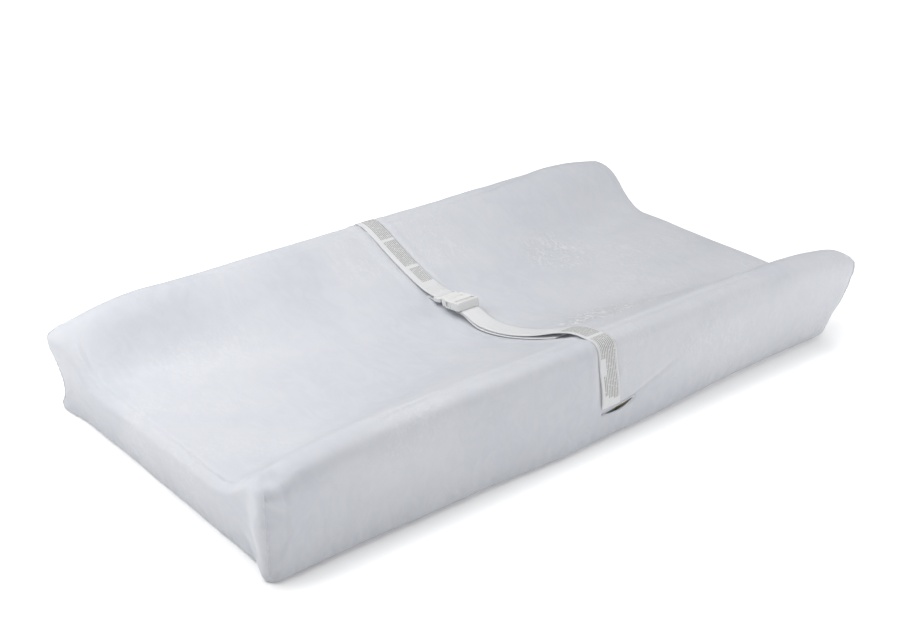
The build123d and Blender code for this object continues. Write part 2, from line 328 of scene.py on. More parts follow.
def swell(obj, foot_points, cap):
    """Inflates the surface with a short cloth simulation, then limits how far any point has moved."""
    frames = 20
    before = points_of(obj.data)
    cloth = obj.modifiers.new("swell", "CLOTH")
    settings = cloth.settings
    settings.quality = 4
    settings.mass = 0.3
    settings.tension_stiffness = settings.compression_stiffness = 15
    settings.bending_stiffness = 1.5
    settings.use_pressure = True
    settings.uniform_pressure_force = 4
    settings.effector_weights.gravity = 0
    held = obj.vertex_groups.new(name="foot")
    held.add([int(i) for i in foot_points], 1, "REPLACE")
    settings.vertex_group_mass = "foot"
    scene = bpy.context.scene
    cloth.point_cache.frame_end = frames
    for step in range(1, frames + 1):
        scene.frame_set(step)
    graph = bpy.context.evaluated_depsgraph_get()
    result = bpy.data.meshes.new_from_object(obj.evaluated_get(graph), depsgraph=graph)
    moved = points_of(result) - before
    scene.frame_set(1)
    obj.modifiers.clear()
    obj.vertex_groups.clear()
    distance = np.linalg.norm(moved, axis=1, keepdims=True)
    moved *= np.tanh(distance / cap) * cap / np.maximum(distance, 1e-9)
    move_points(obj, before + moved)


def open_slit(points, index, zs, side, span):
    """Parts two rows of the lattice at a belt slit and returns which row of faces opens."""
    reach = 26 * mm
    row = int(np.argmin(abs(zs - slit_z))) - 1
    column = 0 if side < 0 else -1
    start, end = span
    for level, gape, outward in ((row, -5.2 * mm, 1.6 * mm), (row + 1, 1 * mm, 0.9 * mm)):
        found = index[:, column, level]
        x = points[found, 0]
        share = np.clip((x - start) / (end - start), 0, 1)
        almond = np.sin(pi * share) ** 0.8
        line = slit_z + (np.clip(x, start, end) - (start + end) / 2) * slit_slope
        past = np.maximum(np.maximum(start - x, x - end), 0)
        slit_share = 1 - smooth(past / reach)
        tip = 0.3 * mm if gape > 0 else -0.3 * mm
        points[found, 2] = mix(points[found, 2], line + tip + gape * almond, slit_share)
        points[found, 1] += side * outward * almond
    return row


def fine_lattice():
    xs = spaced(half_length, 42 * mm, 3 * mm, 6 * mm)
    ys = spaced(half_width, 32 * mm, 3.2 * mm, 6 * mm)
    zs = np.linspace(0, rim_height, 23)
    return xs, ys, zs


xs, ys, zs = fine_lattice()
lattice_points, lattice_quads, lattice_index = box_lattice(xs, ys, zs)
all_faces = np.concatenate([grid.reshape(-1, 4) for grid in lattice_quads.values()])
body = new_object("pad_form", pad_surface(lattice_points), all_faces)
swell(body, lattice_index[:, :, 0].ravel(), swell_cap)
form_points = points_of(body.data)
form_normals = normals_of(body.data)
bpy.data.objects.remove(body)


# ---- Materials

def add_node(tree, kind, inputs=None, **settings):
    """A shader node; inputs gives each socket a number, a colour or another node's output."""
    node = tree.nodes.new(kind)
    for key, value in settings.items():
        setattr(node, key, value)
    for key, value in (inputs or {}).items():
        if isinstance(value, bpy.types.NodeSocket):
            tree.links.new(value, node.inputs[key])
        else:
            node.inputs[key].default_value = value
    return node


def new_material(name, roughness=0.8, sheen=0.0, specular=0.5):
    material = bpy.data.materials.new(name)
    material.use_nodes = True
    shader = material.node_tree.nodes["Principled BSDF"]
    shader.inputs["Roughness"].default_value = roughness
    shader.inputs["Sheen Weight"].default_value = sheen
    shader.inputs["Specular IOR Level"].default_value = specular
    return material, material.node_tree, shader


def place(tree, scale=(1, 1, 1)):
    """Positions on the object in metres, stretched by scale."""
    coordinates = add_node(tree, "ShaderNodeTexCoord")
    mapping = add_node(tree, "ShaderNodeMapping", {"Vector": coordinates.outputs["Object"], "Scale": scale})
    return mapping.outputs["Vector"]


def noise_of(tree, vector, scale, detail=3.0, distortion=0.0):
    inputs = {"Vector": vector, "Scale": scale, "Detail": detail, "Distortion": distortion}
    return add_node(tree, "ShaderNodeTexNoise", inputs).outputs["Fac"]


def math_node(tree, operation, first, second=0.0, clamp=False):
    node = add_node(tree, "ShaderNodeMath", {0: first, 1: second}, operation=operation, use_clamp=clamp)
    return node.outputs[0]


def between(tree, value, low, high):
    """0 below low, 1 above high, smooth between."""
    inputs = {"Value": value, "From Min": low, "From Max": high}
    return add_node(tree, "ShaderNodeMapRange", inputs, interpolation_type="SMOOTHSTEP").outputs[0]


def mix_colour(tree, share, first, second):
    node = add_node(tree, "ShaderNodeMix", {"Factor": share}, data_type="RGBA")
    for socket, value in ((node.inputs[6], first), (node.inputs[7], second)):
        if isinstance(value, bpy.types.NodeSocket):
            tree.links.new(value, socket)
        else:
            socket.default_value = (*value, 1)
    return node.outputs[2]


def bump(tree, height, distance, strength=1.0, under=None):
    inputs = {"Height": height, "Distance": distance, "Strength": strength}
    if under:
        inputs["Normal"] = under
    return add_node(tree, "ShaderNodeBump", inputs).outputs["Normal"]


# Where the nap is flattened and painted lighter, a painted highlight: the middle of each spot, how far it
# reaches along X, Y and Z, and how strongly.
flattened_nap_highlight_spots = [
    ((110 * mm, -102 * mm, 90 * mm), (90 * mm, 42 * mm, 60 * mm), 1.0),
    ((205 * mm, -120 * mm, 95 * mm), (90 * mm, 38 * mm, 60 * mm), 0.8),
    ((205 * mm, 70 * mm, 85 * mm), (70 * mm, 60 * mm, 60 * mm), 0.35),
]


def spot(tree, middle, spread):
    """1 about middle, fading to 0 at the edge of an ellipsoid."""
    coordinates = add_node(tree, "ShaderNodeTexCoord").outputs["Object"]
    offset = add_node(tree, "ShaderNodeVectorMath", {0: coordinates, 1: middle}, operation="SUBTRACT")
    scaled = add_node(tree, "ShaderNodeVectorMath", {0: offset.outputs[0], 1: spread}, operation="DIVIDE")
    reach = add_node(tree, "ShaderNodeVectorMath", {0: scaled.outputs[0]}, operation="LENGTH")
    return math_node(tree, "SUBTRACT", 1.0, between(tree, reach.outputs["Value"], 0.5, 1.0))


def plush_material():
    """Short-pile plush: mottled where the nap lies over, with flecks where the nap is flattened, painted
    lighter as a highlight.
    """
    material, tree, shader = new_material("plush", roughness=0.82, sheen=0.25, specular=0.2)
    shader.inputs["Sheen Roughness"].default_value = 0.45
    where = place(tree)
    brushed = place(tree, (1, 0.45, 0.8))
    cloudy = noise_of(tree, where, 7, 3, 0.6)
    strokes = noise_of(tree, brushed, 55, 4, 1.6)
    faint = between(tree, noise_of(tree, where, 6.5, 2, 0.4), 0.5, 0.75)
    patches = math_node(tree, "MULTIPLY", faint, 0.15)
    for middle, spread, strength in flattened_nap_highlight_spots:
        here = math_node(tree, "MULTIPLY", spot(tree, middle, spread), strength)
        patches = math_node(tree, "MAXIMUM", patches, here)
    ripples = between(tree, noise_of(tree, place(tree, (1, 0.5, 0.7)), 150, 3, 1.8), 0.5, 0.58)
    nap_flattening_and_highlight = math_node(tree, "MULTIPLY", patches, ripples)
    nap = noise_of(tree, where, 1400, 2)
    colour = mix_colour(tree, between(tree, cloudy, 0.35, 0.68), (0.595, 0.615, 0.66), (0.635, 0.65, 0.69))
    colour = mix_colour(tree, math_node(tree, "MULTIPLY", between(tree, strokes, 0.35, 0.7), 0.35), colour,
                        (0.675, 0.69, 0.725))
    # Painted highlight: where the nap is flattened it is painted much lighter, standing for the sheen off its
    # pile; the bump below is the real flattening.
    colour = mix_colour(tree, math_node(tree, "MULTIPLY", nap_flattening_and_highlight, 0.9), colour, (0.86, 0.87, 0.89))
    tree.links.new(colour, shader.inputs["Base Color"])
    normal = bump(tree, nap, 0.25 * mm, 0.5)
    normal = bump(tree, strokes, 1.2 * mm, 0.35, normal)
    normal = bump(tree, nap_flattening_and_highlight, 1.4 * mm, 0.8, normal)
    tree.links.new(normal, shader.inputs["Normal"])
    return material


def vinyl_material():
    """The liner's wipe-clean face: cream vinyl, painted a darker tan as shade, the way it looks inside the
    belt slits, with a fine pebble grain.
    """
    material, tree, shader = new_material("vinyl", roughness=0.42, specular=0.4)
    where = place(tree)
    pebbles = add_node(tree, "ShaderNodeTexVoronoi", {"Vector": where, "Scale": 900}).outputs["Distance"]
    tone = noise_of(tree, where, 20, 3)
    # Painted shade: the cream vinyl is painted darker and warmer, as it looks in the shade behind the belt
    # slits.
    colour = mix_colour(tree, tone, (0.74, 0.64, 0.45), (0.83, 0.74, 0.55))
    tree.links.new(colour, shader.inputs["Base Color"])
    tree.links.new(bump(tree, pebbles, 0.15 * mm, 0.5), shader.inputs["Normal"])
    return material


def foam_material():
    """Open-cell foam: pale yellow, with small pores that are painted darker inside as shade."""
    material, tree, shader = new_material("foam", roughness=0.95, specular=0.1)
    where = place(tree)
    pores_and_pore_shade = add_node(tree, "ShaderNodeTexVoronoi", {"Vector": where, "Scale": 600}).outputs["Distance"]
    # Painted shade: the colour darkens in each pore's pit, where shade falls.
    colour = mix_colour(tree, between(tree, pores_and_pore_shade, 0.1, 0.5), (0.55, 0.50, 0.36), (0.78, 0.73, 0.56))
    tree.links.new(colour, shader.inputs["Base Color"])
    tree.links.new(bump(tree, pores_and_pore_shade, 0.5 * mm, 0.8), shader.inputs["Normal"])
    return material


def elastic_material():
    """Ribbed white elastic, painted darker in the grooves between its ribs as shade."""
    material, tree, shader = new_material("elastic", roughness=0.7)
    ribs_and_groove_shade = add_node(tree, "ShaderNodeTexWave", {"Vector": place(tree), "Scale": 350.0, "Distortion": 0.3})
    # Painted shade: the colour darkens in the grooves between the ribs, where shade falls.
    colour = mix_colour(tree, ribs_and_groove_shade.outputs["Fac"], (0.70, 0.70, 0.68), (0.84, 0.84, 0.82))
    tree.links.new(colour, shader.inputs["Base Color"])
    tree.links.new(bump(tree, ribs_and_groove_shade.outputs["Fac"], 0.2 * mm, 0.6), shader.inputs["Normal"])
    return material


def thread_material():
    """Twisted polyester thread, painted darker in the grooves of its twist as shade."""
    material, tree, shader = new_material("thread", roughness=0.55, sheen=0.2)
    where = place(tree)
    twist_and_groove_shade = add_node(tree, "ShaderNodeTexWave", {"Vector": where, "Scale": 900.0, "Distortion": 1.0})
    # Painted shade: the colour darkens in the grooves of the twist, where shade falls.
    colour = mix_colour(tree, twist_and_groove_shade.outputs["Fac"], (0.66, 0.66, 0.66), (0.80, 0.80, 0.79))
    tree.links.new(colour, shader.inputs["Base Color"])
    tree.links.new(bump(tree, twist_and_groove_shade.outputs["Fac"], 0.15 * mm, 0.6), shader.inputs["Normal"])
    return material


def plastic_material():
    """Moulded white acetal: satin, with a faint mould texture and patches at random that are a little lighter
    and rougher.
    """
    material, tree, shader = new_material("buckle", roughness=0.38, specular=0.5)
    where = place(tree)
    grain = noise_of(tree, where, 900, 2)
    flow = noise_of(tree, where, 60, 3, 1)
    colour = mix_colour(tree, flow, (0.80, 0.80, 0.79), (0.86, 0.86, 0.85))
    tree.links.new(colour, shader.inputs["Base Color"])
    roughness = math_node(tree, "ADD", math_node(tree, "MULTIPLY", flow, 0.2), 0.28)
    tree.links.new(roughness, shader.inputs["Roughness"])
    tree.links.new(bump(tree, grain, 0.05 * mm, 0.5), shader.inputs["Normal"])
    return material


def band_mask(tree, value, low, high, fade):
    """1 where value is from low to high, fading to 0 below low and past high."""
    below_high = math_node(tree, "SUBTRACT", 1.0, between(tree, value, high, high + fade))
    return math_node(tree, "MULTIPLY", between(tree, value, low, low + fade), below_high)


def webbing_material(name, blocks):
    """White woven webbing. Each block is a stretch (start, end, left, right) that carries grey dashes."""
    print_rows = 11.0
    material, tree, shader = new_material(name, roughness=0.75, sheen=0.15)
    uv = add_node(tree, "ShaderNodeUVMap", uv_map="band").outputs["UV"]
    parts = add_node(tree, "ShaderNodeSeparateXYZ", {"Vector": uv})
    across, along = parts.outputs["X"], parts.outputs["Y"]
    warp = math_node(tree, "SINE", math_node(tree, "MULTIPLY", across, tau * 20))
    weft = math_node(tree, "SINE", math_node(tree, "MULTIPLY", along, tau / (1.1 * mm)))
    weave = math_node(tree, "MULTIPLY", warp, weft)
    tone = noise_of(tree, uv, 40, 3)
    cloth = mix_colour(tree, tone, (0.71, 0.715, 0.725), (0.78, 0.785, 0.795))
    printed = 0.0
    for start, end, left, right in blocks:
        length = band_mask(tree, along, start, end, 0.4 * mm)
        width = band_mask(tree, across, left, right, 0.02)
        printed = math_node(tree, "MAXIMUM", printed, math_node(tree, "MULTIPLY", length, width))
    rows = math_node(tree, "SINE", math_node(tree, "MULTIPLY", across, tau * print_rows))
    dash_place = add_node(tree, "ShaderNodeCombineXYZ", {
        "X": math_node(tree, "FLOOR", math_node(tree, "MULTIPLY", across, print_rows)),
        "Y": math_node(tree, "MULTIPLY", along, 520.0),
    }).outputs["Vector"]
    dashes = between(tree, noise_of(tree, dash_place, 1.0, 1), 0.33, 0.4)
    ink = math_node(tree, "MULTIPLY", between(tree, rows, -0.5, 0.1), dashes)
    ink = math_node(tree, "MULTIPLY", math_node(tree, "MULTIPLY", ink, printed), 0.8)
    cloth = mix_colour(tree, ink, cloth, (0.27, 0.27, 0.255))
    tree.links.new(cloth, shader.inputs["Base Color"])
    tree.links.new(bump(tree, weave, 0.12 * mm, 0.6), shader.inputs["Normal"])
    return material


def patch_material():
    """Plain woven reinforcing cloth, undyed, painted darker between its threads as shade."""
    material, tree, shader = new_material("patch", roughness=0.85, sheen=0.1)
    where = place(tree)
    warp = add_node(tree, "ShaderNodeTexWave", {"Vector": where, "Scale": 300.0}, bands_direction="X")
    weft = add_node(tree, "ShaderNodeTexWave", {"Vector": where, "Scale": 300.0}, bands_direction="Z")
    weave = math_node(tree, "MULTIPLY", warp.outputs["Fac"], weft.outputs["Fac"])
    # Painted shade: the colour darkens where the weave sinks between the threads, where shade falls.
    colour = mix_colour(tree, weave, (0.50, 0.44, 0.32), (0.66, 0.58, 0.43))
    tree.links.new(colour, shader.inputs["Base Color"])
    tree.links.new(bump(tree, weave, 0.2 * mm, 0.6), shader.inputs["Normal"])
    return material


plush = plush_material()
vinyl = vinyl_material()
foam_cells = foam_material()
elastic = elastic_material()
thread = thread_material()
plastic = plastic_material()
patch_cloth = patch_material()


# ---- Cover

def noise_at(points, scale, seed):
    """Smooth noise from -1 to 1 at each point."""
    offset = Vector((seed * 7.3, seed * 3.1, seed * 5.7))
    return np.array([noise.noise(Vector(p) * scale + offset) for p in points])


def cloth_detail(points):
    """How far the plush stands off its plain shape, in metres: lumps, puckers, creases and strap dents."""
    x, y, z = points.T
    lump = 0.9 * mm * noise_at(points, 13, 1) + 0.35 * mm * noise_at(points, 38, 2)
    ripple = noise_at(points, 80, 3)
    to_corner = np.hypot(half_length - abs(x), half_width - abs(y))
    pucker = 0.45 * mm * np.sin(z * tau / (14 * mm) + 5 * ripple) * bell(to_corner, 11 * mm)
    run = np.where(half_length - abs(x) < 26 * mm, y, x)
    gather = 0.45 * mm * np.sin(run * tau / (47 * mm) + 6 * ripple) * bell(z - 10 * mm, 9 * mm)
    from_left = x + half_length
    ridge = 1.5 * mm * bell(from_left - 16 * mm - 1.5 * mm * ripple, 2.6 * mm) * (abs(y) < 165 * mm)
    ridge = ridge * (z > 40 * mm)
    valley = 0.9 * mm * bell(from_left - 22 * mm, 3.5 * mm) * (z > 40 * mm)
    at_strap = smooth((abs(y) - 45 * mm) / (40 * mm)) * smooth((z - 45 * mm) / (15 * mm))
    beside = bell(x - belt_x + 19 * mm, 5 * mm) + 0.6 * bell(x - belt_x - 20 * mm, 5 * mm)
    dent = -0.8 * mm * bell(x - belt_x, 12 * mm) + 1.5 * mm * beside
    past_slit = x - near_slit[1]
    crease_line = slit_z + 5 * mm + past_slit * 0.35
    crease = bell(z - crease_line, 3 * mm) * smooth((past_slit + 6 * mm) / (12 * mm))
    crease = crease * (1 - smooth((past_slit - 40 * mm) / (60 * mm))) * (y < -crest_y)
    return lump + pucker + gather + ridge - valley + dent * at_strap - 1.1 * mm * crease


def cover_faces(open_rows):
    """The lattice's faces that the cover keeps: all but the belt slits and the open underside."""
    kept = [lattice_quads[name].reshape(-1, 4) for name in ("top", "left", "right")]
    for name, span in (("near", near_slit), ("far", far_slit)):
        grid = lattice_quads[name]
        if name == "far":
            grid = grid.transpose(1, 0, 2)
        middles = (xs[:-1] + xs[1:]) / 2
        inside = (middles > span[0]) & (middles < span[1])
        keep = np.ones(grid.shape[:2], bool)
        keep[inside, open_rows[name]] = False
        kept.append(grid[keep])
    bottom = lattice_quads["bottom"].transpose(1, 0, 2)
    middle_x = (abs(xs[:-1] + xs[1:]) / 2)[:, None]
    middle_y = (abs(ys[:-1] + ys[1:]) / 2)[None, :]
    turned_under = (middle_x > elastic_high.x) | (middle_y > elastic_high.y)
    kept.append(bottom[turned_under])
    return np.concatenate(kept)


def rim_of_slit(side, span, row):
    """The lattice points round a slit, in order."""
    column = 0 if side < 0 else -1
    inside = [i for i in range(len(xs)) if span[0] - 3 * mm < xs[i] < span[1] + 3 * mm]
    lower = [lattice_index[i, column, row] for i in inside]
    upper = [lattice_index[i, column, row + 1] for i in reversed(inside)]
    return lower + upper


def plush_cover():
    points = form_points.copy()
    rows = {
        "near": open_slit(points, lattice_index, zs, -1, near_slit),
        "far": open_slit(points, lattice_index, zs, 1, far_slit),
    }
    faces = cover_faces(rows)
    used, faces = np.unique(faces, return_inverse=True)
    cover = new_object("cover", points[used], faces.reshape(-1, 4), plush)
    subdivide(cover)
    fine = points_of(cover.data)
    detailed = fine + normals_of(cover.data) * cloth_detail(fine)[:, None]
    detailed[:, 2] = np.maximum(detailed[:, 2], 0)
    move_points(cover, detailed)
    thicken(cover, cover_thickness)
    rims = [[points[i] for i in rim_of_slit(side, span, rows[name])]
            for side, span, name in ((-1, near_slit, "near"), (1, far_slit, "far"))]
    return cover, rims


cover, slit_rims = plush_cover()
cover_tree = surface_tree(cover)


def slit_binding(name, rim, side):
    """The turned and stitched edge of a belt slit."""
    path = [Vector((p[0], p[1] - side * 0.5 * mm, p[2])) for p in rim]
    return tube(name, path, (1.1 * mm, 1 * mm), plush, closed=True)


near_binding = slit_binding("near_slit_edge", slit_rims[0], -1)
far_binding = slit_binding("far_slit_edge", slit_rims[1], 1)


def outer_surface(origin, direction):
    """Where a ray first meets the cover, or None."""
    return cover_tree.ray_cast(Vector(origin), Vector(direction))[0]


def corner_seams():
    """The closed seam down each corner of the cover, slightly puckered."""
    seam_steps = 47
    seams = []
    for right in (-1, 1):
        for far in (-1, 1):
            path, radii = [], []
            middle = Vector((right * (half_length - 40 * mm), far * (half_width - 40 * mm), 0))
            outward = Vector((right, far, 0)).normalized()
            for step in range(seam_steps):
                height = (6 + 1.9 * step) * mm
                origin = middle + outward * 0.2 + Vector((0, 0, height))
                hit = outer_surface(origin, -outward)
                if hit is None or (hit - origin).length > 0.19:
                    continue
                path.append(hit + outward * 0.1 * mm)
                swollen = 1 + 0.25 * sin(step * 1.9) + 0.15 * sin(step * 4.3 + right)
                radii.append((0.9 * mm * swollen, 0.8 * mm * swollen))
            seams.append(tube("corner_seam", path, radii, plush))
    return join("corner_seams", seams)


def join(name, objects):
    """One object from several."""
    points, faces, start = [], [], 0
    material = objects[0].data.materials[0]
    for obj in objects:
        points += [v.co.copy() for v in obj.data.vertices]
        faces += [tuple(start + i for i in p.vertices) for p in obj.data.polygons]
        start += len(obj.data.vertices)
        bpy.data.objects.remove(obj)
    return new_object(name, points, faces, material)


seams = corner_seams()


def ring_path(half_x, half_y, radius, step):
    """Points round a rectangle with rounded corners."""
    path = []
    for quarter in range(4):
        turn = quarter * pi / 2
        out_x = cos(turn) - sin(turn)
        out_y = sin(turn) + cos(turn)
        centre = (out_x * (half_x - radius), out_y * (half_y - radius))
        for part in range(9):
            angle = turn + pi / 2 * part / 8
            path.append((centre[0] + radius * cos(angle), centre[1] + radius * sin(angle)))
    even = []
    for i, (x, y) in enumerate(path):
        next_x, next_y = path[(i + 1) % len(path)]
        count = max(1, round(np.hypot(next_x - x, next_y - y) / step))
        for k in range(count):
            even.append((mix(x, next_x, k / count), mix(y, next_y, k / count)))
    return even


def hem_casing():
    """The gathered tube at the hem's inner edge, which holds the elastic."""
    band = 3 * mm
    route = ring_path(elastic_high.x - band, elastic_high.y - band, 12 * mm, 2 * mm)
    middle = (elastic_low.z + elastic_high.z) / 2
    path, radii = [], []
    for i, (x, y) in enumerate(route):
        gather = sin(i * 1.75) + 0.6 * noise.noise(Vector((x, y, 0)) * 60)
        path.append((x, y, middle))
        radii.append(((4.9 + 0.5 * gather) * mm, (1.25 + 0.2 * gather) * mm))
    return tube("hem_casing", path, radii, plush, closed=True, sides=12)


hem = hem_casing()


# ---- Liner and foam, inside the cover

def inner_form(inset, base_z, pocket_inset):
    """The pad's surface shrunk by inset, hollowed behind the belt slits and raised to base_z."""
    points = form_points - form_normals * inset
    x, y, z = points.T
    behind_patch = (x > -16 * mm) & (x < 39 * mm) & (z > 8 * mm) & (z < 30 * mm)
    behind_belt = (x > -16 * mm) & (x < 29 * mm) & (z > 8 * mm) & (z < 50 * mm)
    in_pocket = (behind_patch | behind_belt) & (abs(y) > half_width - 15 * mm)
    points[in_pocket, 1] = np.sign(y[in_pocket]) * (half_width - pocket_inset)
    behind_gap = bell(x - 41 * mm, 12 * mm) * bell(z - slit_z + 3 * mm, 9 * mm) * (y < -crest_y)
    points[:, 1] -= (inset - cover_thickness - 0.3 * mm) * behind_gap * ~in_pocket
    points[:, 2] = np.maximum(points[:, 2], base_z)
    return points


def part_of_lattice(name, points, faces, material, thickness=None):
    used, faces = np.unique(faces, return_inverse=True)
    obj = new_object(name, points[used], faces.reshape(-1, 4), material)
    if thickness:
        thicken(obj, thickness)
    return obj


def liner_panels():
    """The liner's top, its side band and its base, cut from the same surface."""
    points = inner_form(liner_inset, liner_base_z, liner_pocket_inset)
    top = lattice_quads["top"]
    margin = 3
    upper = top[margin:-margin, margin:-margin].reshape(-1, 4)
    rim = np.ones(top.shape[:2], bool)
    rim[margin:-margin, margin:-margin] = False
    walls = [lattice_quads[side].reshape(-1, 4) for side in ("left", "right", "near", "far")]
    band = np.concatenate(walls + [top[rim]])
    seam = list(lattice_index[margin:-margin - 1, margin, -1])
    seam += list(lattice_index[-margin - 1, margin:-margin - 1, -1])
    seam += list(lattice_index[-margin - 1:margin:-1, -margin - 1, -1])
    seam += list(lattice_index[margin, -margin - 1:margin:-1, -1])
    pieces = [
        part_of_lattice("liner_top", points, upper, vinyl, liner_thickness),
        part_of_lattice("liner_side", points, band, vinyl, liner_thickness),
        part_of_lattice("liner_base", points, lattice_quads["bottom"].reshape(-1, 4), vinyl, liner_thickness),
        tube("liner_seam_piping", [points[i] for i in seam], (1.2 * mm, 0.9 * mm), vinyl, closed=True),
    ]
    return pieces


liner_top, liner_side, liner_base, piping = liner_panels()
foam_points = inner_form(foam_inset, foam_base_z, foam_pocket_inset)
foam = part_of_lattice("foam", foam_points, all_faces, foam_cells)


# ---- Belt

def on_buckle(u, w):
    """A point of the belt's line given on the buckle's own axes, in mm: u towards the plug, w up."""
    u, w = u * mm, w * mm
    y = buckle_y + u * cos(buckle_tilt) - w * sin(buckle_tilt)
    z = buckle_z + u * sin(buckle_tilt) + w * cos(buckle_tilt)
    return (y, z)


def highest(x, y, z, direction):
    """Where the cover stands out furthest under a band's width, seen against direction."""
    direction = Vector(direction)
    best = None
    for k in range(-3, 4):
        origin = Vector((x + k * webbing_width / 7, y, z)) + direction * 0.15
        hit = outer_surface(origin, -direction)
        if hit and (best is None or hit.dot(direction) > best):
            best = hit.dot(direction)
    return best


def over_side(side, z, lift, x):
    reach = highest(x, side * half_width, z, (0, side, 0))
    return (side * (reach + lift), z)


def round_rim(side, turn, lift, x):
    """A point over the rim, turn degrees up from the side's outward direction."""
    direction = Vector((0, side * cos(radians(turn)), sin(radians(turn))))
    radius = near_crest_radius if side < 0 else far_crest_radius
    centre = Vector((0, side * (half_width - radius), rim_height - radius))
    reach = highest(x, centre.y, centre.z, direction) - centre.dot(direction)
    point = centre + direction * (reach + lift)
    return (point.y, point.z)


def over_top(y, lift, x):
    return (y, highest(x, y, 0.1, (0, 0, 1)) + lift)


def spline_points(control, step):
    """Points along the cubic B-spline of the control points, step apart."""
    control = np.array([control[0]] * 2 + list(control) + [control[-1]] * 2, float)
    samples = []
    for i in range(len(control) - 3):
        p = control[i:i + 4]
        for t in np.linspace(0, 1, 24, endpoint=False):
            inner = (3 * t**3 - 6 * t**2 + 4, -3 * t**3 + 3 * t**2 + 3 * t + 1)
            weights = np.array([(1 - t)**3, *inner, t**3]) / 6
            samples.append(weights @ p)
    samples = np.array(samples)
    lengths = np.concatenate([[0], np.cumsum(np.linalg.norm(np.diff(samples, axis=0), axis=1))])
    even = np.linspace(0, lengths[-1], max(2, round(lengths[-1] / step)))
    return np.stack([np.interp(even, lengths, samples[:, a]) for a in range(samples.shape[1])], 1)


def ribbon(name, control, material, flip=False):
    """Flat webbing along (x, y, z) control points. Its band UV runs across, then along in metres."""
    path = spline_points(control, 1.6 * mm)
    tangents = np.gradient(path, axis=0)
    tangents /= np.linalg.norm(tangents, axis=1, keepdims=True)
    across = np.array([1.0, 0, 0]) - tangents * tangents[:, :1]
    across /= np.linalg.norm(across, axis=1, keepdims=True)
    upward = np.cross(across, tangents) * (-1 if flip else 1)
    share = np.linspace(-1, 1, 11)
    crown = 1 - 0.5 * abs(share) ** 6
    section = [(s, c) for s, c in zip(share, crown)] + [(s, -c) for s, c in zip(share[::-1], crown)]
    count = len(section)
    points = []
    for centre, side, up in zip(path, across, upward):
        for s, c in section:
            points.append(centre + side * s * webbing_width / 2 + up * c * webbing_thickness / 2)
    faces = []
    for i in range(len(path) - 1):
        for k in range(count):
            a, b = i * count + k, i * count + (k + 1) % count
            quad = (a, a + count, b + count, b)
            faces.append(tuple(reversed(quad)) if flip else quad)
    ends = [tuple(range(count)), tuple(reversed(range((len(path) - 1) * count, len(path) * count)))]
    faces += [tuple(reversed(e)) for e in ends] if flip else ends
    obj = new_object(name, points, faces, material)
    lengths = np.concatenate([[0], np.cumsum(np.linalg.norm(np.diff(path, axis=0), axis=1))])
    layer = obj.data.uv_layers.new(name="band")
    for loop in obj.data.loops:
        ring, k = divmod(loop.vertex_index, count)
        outer = k < len(share)
        layer.data[loop.index].uv = ((section[k][0] + 1) / 2, lengths[ring] + (0 if outer else 10))
    return obj


def drift_near(y, z):
    """The near half slants to the slit's left half on its way down the side."""
    return belt_x + 7 * mm * smooth((110 * mm - z) / (70 * mm)) * (y < -crest_y) - 2 * mm * (y < -0.12)


def near_route():
    """From the anchor out of the near slit, up and over the rim, round the receptacle's bar and back."""
    rest = webbing_thickness / 2
    route = [(-205.4 * mm, 16 * mm), (-205.4 * mm, 28 * mm), (-206.5 * mm, 34 * mm), (-212 * mm, 36.8 * mm)]
    route = [(*p, belt_x + 7 * mm) for p in route]
    for z in (44, 52, 62, 74, 86):
        x = drift_near(-half_width, z * mm)
        route.append((*over_side(-1, z * mm, rest + 0.5 * mm, x), x))
    for turn in (8, 26, 44, 62, 80):
        x = belt_x
        route.append((*round_rim(-1, turn, rest + 0.6 * mm, x), x))
    arch = ((-182, 2.2), (-170, 4.6), (-154, 6.4), (-138, 6), (-122, 4.4), (-104, 3.2), (-82, 2.7),
            (-58, 2.6), (-36, 2.7), (-18, 3.4))
    for y, lift in arch:
        route.append((*over_top(y * mm, rest + lift * mm, belt_x), belt_x))
    lock = [(-27.5, -5.4), (-20.4, -5.5), (-18.55, -4.6), (-18.55, 3.5), (-17.4, 3.95), (-15.4, 3.95),
            (-14.05, 3.5), (-14.05, -6.6), (-15.5, -7.3), (-21, -7.3), (-28, -7.2)]
    route += [(*on_buckle(u, w), belt_x) for u, w in lock]
    for y in (-20, -40, -62, -86, -110, -132, -148):
        route.append((*over_top(y * mm, rest + 0.5 * mm, belt_x - 1.5 * mm), belt_x - 1.5 * mm))
    return [(x, y, z) for y, z, x in route]


def far_route():
    """From the anchor out of the far slit, up and over the rim, round the plug's bar and back."""
    rest = webbing_thickness / 2
    route = [(205.4 * mm, 16 * mm), (205.4 * mm, 28 * mm), (206.5 * mm, 34 * mm), (212 * mm, 36.8 * mm)]
    for z in (44, 52, 62, 74, 86):
        route.append(over_side(1, z * mm, rest + 0.5 * mm, belt_x))
    for turn in (8, 26, 44, 62, 80):
        route.append(round_rim(1, turn, rest + 0.6 * mm, belt_x))
    for y, lift in ((180, 0.9), (160, 0.9), (136, 0.9), (112, 1), (90, 1.4), (74, 2.4)):
        route.append(over_top(y * mm, rest + lift * mm, belt_x))
    bar = [(26.5, 2.5), (22.5, 2.75), (20.2, 2.5), (18.9, 1.2), (18.9, -1.2), (20.2, -2.5), (23, -2.7),
           (28, -1.7), (34, -0.6), (41, -0.4)]
    route += [on_buckle(u, w) for u, w in bar]
    return [(belt_x, y, z) for y, z in route]


